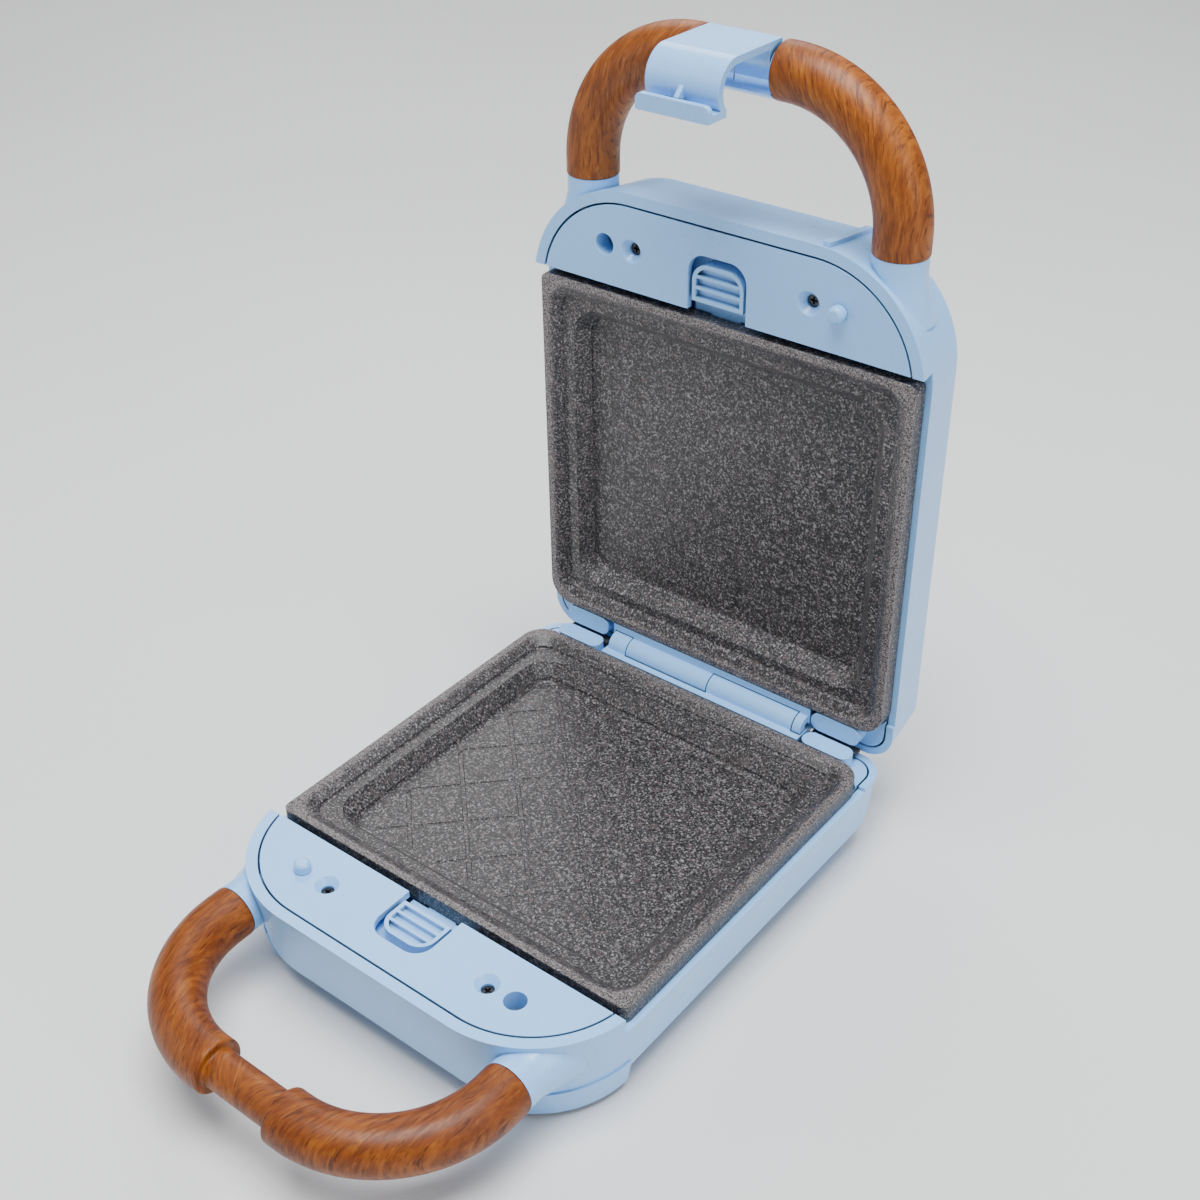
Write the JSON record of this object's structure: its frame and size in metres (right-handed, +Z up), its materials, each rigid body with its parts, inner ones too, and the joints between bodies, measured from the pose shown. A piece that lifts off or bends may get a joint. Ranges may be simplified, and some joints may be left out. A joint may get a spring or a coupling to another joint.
{
  "type": "plate maker",
  "caption": "Compact electric snack maker with a pale blue hinged body, speckled cooking plates, wood-look loop handles and a latch clip, lid open.",
  "frame": {"origin": "on the table, under the middle of the box round the machine with its lid open", "axes": "+Z up, -Y towards the base handle (front), +Y towards the hinge, +X to the right seen from the front"},
  "size_m": [0.134, 0.234, 0.2412],
  "materials": {
    "blue_shell": "satin gloss",
    "wood_look": "glossy wood print",
    "granite_coating": "speckled non-stick coating",
    "steel": "brushed",
    "reflector_metal": "bright rolled",
    "dark_plastic": "matte",
    "rubber_pad": "matte",
    "board": "matte",
    "lens": "clear gloss",
    "wire_sleeve": "matte"
  },
  "bodies": {
    "base": {"base_shell": "blue_shell", "base_deck": "blue_shell", "base_hinge_covers": "blue_shell", "base_gap_seals": "rubber_pad", "base_grill_plate": "granite_coating", "base_heater": "steel", "base_reflector": "reflector_metal", "base_thermostat": "dark_plastic", "base_thermal_fuse": "steel", "terminal_block": "dark_plastic", "base_wiring": "wire_sleeve", "base_button_spring": "steel", "base_deck_screws": "steel", "base_deck_pegs": "blue_shell", "foot_pads": "rubber_pad", "base_grip": "wood_look", "base_handle_core": "steel", "cord_gland": "rubber_pad", "hinge_pin": "steel"},
    "base_release": {"base_button": "blue_shell"},
    "lid": {"lid_shell": "blue_shell", "lid_deck": "blue_shell", "lid_hinge_covers": "blue_shell", "lid_grill_plate": "granite_coating", "lid_heater": "steel", "lid_reflector": "reflector_metal", "lid_thermostat": "dark_plastic", "lid_wiring": "wire_sleeve", "lid_button_spring": "steel", "lid_deck_screws": "steel", "lid_deck_pegs": "blue_shell", "lid_grip_left": "wood_look", "lid_grip_right": "wood_look", "lid_handle_core_left": "steel", "lid_handle_core_right": "steel", "latch_bridge": "blue_shell", "latch_axle": "steel", "latch_spring": "steel", "lamp_board": "board", "lamp_lenses": "lens"},
    "lid_release": {"lid_button": "blue_shell"},
    "latch": {"latch_clip": "blue_shell"}
  },
  "joints": [
    {"name": "lid_hinge", "type": "hinge", "parent": "base", "child": "lid", "pos_m": [0, 0.09073, 0.03325], "axis": [1, 0, 0], "range_deg": [0, 90]},
    {"name": "latch_pivot", "type": "hinge", "parent": "lid", "child": "latch", "pos_m": [0, 0.09823, 0.23645], "axis": [-1, 0, 0], "range_deg": [0, 60], "stiffness_Nm_per_rad": 0.02, "springref_deg": -20.05},
    {"name": "base_release_slide", "type": "slide", "parent": "base", "child": "base_release", "axis": [0, -1, 0], "range_m": [0, 0.0022], "stiffness_N_per_m": 350, "springref_m": -0.002, "deforming": ["base_button_spring"]},
    {"name": "lid_release_slide", "type": "slide", "parent": "lid", "child": "lid_release", "axis": [0, 0, 1], "range_m": [0, 0.0022], "stiffness_N_per_m": 350, "springref_m": -0.002, "deforming": ["lid_button_spring"]}
  ]
}
